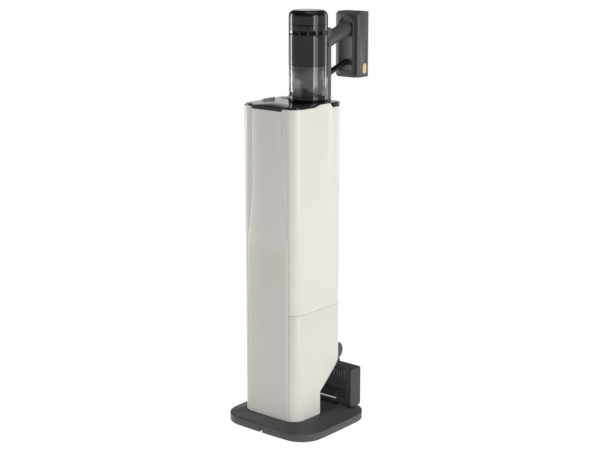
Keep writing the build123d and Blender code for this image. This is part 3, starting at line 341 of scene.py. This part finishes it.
# Radius swells in helical ridges, where the turn and the length are in step, and is drawn in at both ends
def makeSpiralBrush(look):
    low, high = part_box("brush_roller")
    centreY, centreZ = (low[1] + high[1]) / 2, (low[2] + high[2]) / 2
    half = (high[0] - low[0]) / 2 - look["endGapMm"] * mm
    radius = (high[2] - low[2]) / 2
    along, turn = np.meshgrid(
        np.linspace(-1, 1, look["rows"]), np.arange(look["columns"]) * 2 * math.pi / look["columns"], indexing="ij")
    wave = np.cos(look["starts"] * turn + look["turnsAlong"] * 2 * math.pi * along)
    ends = np.clip((1 - np.abs(along)) * look["endSteepness"], 0, 1) ** 0.5
    r = (radius - look["ridgeMm"] * mm * (0.5 - 0.5 * wave))
    r = r * (look["endShare"] + (1 - look["endShare"]) * ends)
    points = np.stack([along * half, centreY + r * np.cos(turn), centreZ + r * np.sin(turn)], -1).reshape(-1, 3)
    faces = gridFaces(look["rows"], look["columns"], True, True)
    return newPiece("spiral_pile", points, faces, "brush", "nylonPile")


makeSpiralBrush(brushLook)

# Raised grille ribs on the nozzle hood's back face, a little glossier and coloured lighter as a painted highlight on
# their crowns
ribLook = {"count": 5, "firstMm": 58, "stepMm": 8, "halfWidthMm": 1.0, "proudMm": 0.35, "lowMm": 106.5, "highMm": 125.5,
           "leastTaper": 0.02, "rows": 12, "columns": 10}


# Each rib is a half-round bar: a half circle across its width, shrinking almost to nothing at both ends
def makeRibs(look):
    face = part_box("nozzle_cover")[0][1]
    along, turn = np.meshgrid(
        np.linspace(-1, 1, look["rows"]), np.linspace(0, math.pi, look["columns"]), indexing="ij")
    taper = np.sqrt(np.clip(1 - along ** 6, look["leastTaper"], 1))
    middle, reach = (look["highMm"] + look["lowMm"]) / 2 * mm, (look["highMm"] - look["lowMm"]) / 2 * mm
    points, faces = [], []
    ribFaces = gridFaces(look["rows"], look["columns"], True, True)
    for side in (-1, 1):
        for number in range(look["count"]):
            x = side * (look["firstMm"] + number * look["stepMm"]) * mm
            rib = np.stack([
                x - np.cos(turn) * look["halfWidthMm"] * mm * taper,
                face - np.sin(turn) * look["proudMm"] * mm * taper, middle + along * reach], -1).reshape(-1, 3)
            start = len(points) * len(rib)
            points.append(rib)
            faces += [[corner + start for corner in face] for face in ribFaces]
    return newPiece("hood_ribs", np.concatenate(points), faces, "nozzle", "ribHighlightGrey")


makeRibs(ribLook)

# The filled dust bag: a pillow with creased sides
bagLook = {"swell": 0.86, "leastShare": 0.12, "squareness": 0.42, "pleats": 9, "pleatMm": 1.6, "endGapMm": 7,
           "sagMm": 6, "rows": 60, "columns": 96}


# A rounded box section (a superellipse) swept up in height, pulled in at both ends, with shallow pleats
def makeDustBag(look):
    low, high = [np.array(v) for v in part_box("dust_bag")]
    centre, half = (low + high) / 2, (high - low) / 2
    height, turn = np.meshgrid(
        np.linspace(-1, 1, look["rows"]), np.arange(look["columns"]) * 2 * math.pi / look["columns"], indexing="ij")
    power = look["squareness"]
    cosine, sine = np.cos(turn), np.sin(turn)
    shape = (1 - np.abs(height) ** 5) ** 0.5 * look["swell"] + look["leastShare"]
    crease = look["pleatMm"] * mm * np.cos(look["pleats"] * math.pi * height)
    x = np.sign(cosine) * np.abs(cosine) ** power * (half[0] * shape - crease)
    y = np.sign(sine) * np.abs(sine) ** power * (half[1] * shape - crease)
    z = height * (half[2] - look["endGapMm"] * mm) - look["sagMm"] * mm
    points = np.stack([centre[0] + x, centre[1] + y, centre[2] + z], -1).reshape(-1, 3)
    faces = gridFaces(look["rows"], look["columns"], True, True)
    piece = newPiece("fleece_bag", points, faces, "station", "fleece")
    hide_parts("dust_bag")


makeDustBag(bagLook)
print("new pieces made")

# edge widths in millimetres
softEdges = {
    "rear_cover": 0.5, "door_left": 0.5, "door_right": 0.5, "side_frames": 0.5, "top_plate": 0.8,
    "base_plate": 3.0, "front_panel": 0.5, "nozzle_cover": 0.5, "handle_frame": 0.8, "bin_base": 0.5,
    "battery_case": 0.5, "neck_yoke": 0.6, "rear_spine": 0.8, "end_caps": 0.8,
    "outer_tube": 0.4, "dust_bin": 0.4, "vent_ring": 0.3}
for node, width in softEdges.items():
    softenEdges(node, width)
print("edges softened:", len(softEdges))

# a long lens looking slightly down
camera = {"place": (2.0536, -2.4622, 1.2599), "tiltDeg": 13.184, "headingDeg": 39.661, "lensMm": 79.57}
cameraData = bpy.data.cameras.new("camera")
cameraData.lens = camera["lensMm"]
cameraData.sensor_width = 36
cameraItem = bpy.data.objects.new("camera", cameraData)
cameraItem.location = camera["place"]
cameraItem.rotation_euler = Euler(
    (math.radians(90 - camera["tiltDeg"]), 0, math.radians(camera["headingDeg"])), "XYZ")
bpy.context.scene.collection.objects.link(cameraItem)
bpy.context.scene.camera = cameraItem


# A soft box light aimed at a point
def softLight(name, place, target, size, power):
    data = bpy.data.lights.new(name, "AREA")
    data.shape = "RECTANGLE"
    data.size, data.size_y = size
    data.energy = power
    item = bpy.data.objects.new(name, data)
    item.location = place
    aim = np.array(target) - np.array(place)
    item.rotation_euler = Euler((
        math.atan2(math.hypot(aim[0], aim[1]), -aim[2]), 0, math.atan2(aim[1], aim[0]) - math.pi / 2))
    bpy.context.scene.collection.objects.link(item)


lights = {
    "keyRight": dict(place=(2.9, -0.1, 1.3), target=(0, 0, 0.6), size=(1.2, 2.8), power=37),
    "stripRight": dict(place=(2.55, -0.68, 1.0), target=(0, 0, 0.8), size=(0.16, 2.2), power=21),
    "rearLeft": dict(place=(-2.3, -0.5, 0.9), target=(0, 0, 0.6), size=(0.5, 2.2), power=34),
    "topSoft": dict(place=(0.3, 0.2, 3.0), target=(0, 0, 0.6), size=(1.4, 1.4), power=9),
    "frontStrip": dict(place=(0.75, 2.8, 1.3), target=(0, 0, 0.8), size=(0.25, 2.2), power=13)}
for name, light in lights.items():
    softLight(name, **light)

world = bpy.data.worlds.new("studio")
world.use_nodes = True
sky = {"horizon": 0.92, "overhead": 0.1, "fadeSine": 0.36}  # white at the horizon, fading to a dim ceiling
skyTree = world.node_tree
height = addNode(
    skyTree, "ShaderNodeSeparateXYZ", None,
    {"Vector": addNode(skyTree, "ShaderNodeTexCoord").outputs["Object"]}).outputs["Z"]
fade = addNode(
    skyTree, "ShaderNodeMapRange",
    {"From Max": sky["fadeSine"], "To Min": sky["horizon"], "To Max": sky["overhead"]}, {"Value": height})
background = skyTree.nodes["Background"]
background.inputs["Color"].default_value = (1, 1, 1, 1)
skyTree.links.new(fade.outputs["Result"], background.inputs["Strength"])
bpy.context.scene.world = world
bpy.context.scene.view_settings.view_transform = "Standard"

# pale floor that reaches the horizon
floorMesh = bpy.data.meshes.new("floor")
reach = 90
floorMesh.from_pydata(
    [(-reach, -reach, 0), (reach, -reach, 0), (reach, reach, 0), (-reach, reach, 0)], [], [(0, 1, 2, 3)])
floor = bpy.data.objects.new("floor", floorMesh)
bpy.context.scene.collection.objects.link(floor)
floorLook = dict(colour="#8C8C8C", shade="#888888", roughness=0.9, mottleMm=500, grainMm=50, bump=0.0, bumpMm=0.1,
                 glow=0.94, glowColour="#FFFFFF")
floorMesh.materials.append(surface("studioPaper", floorLook))
print("camera, lights and floor set")
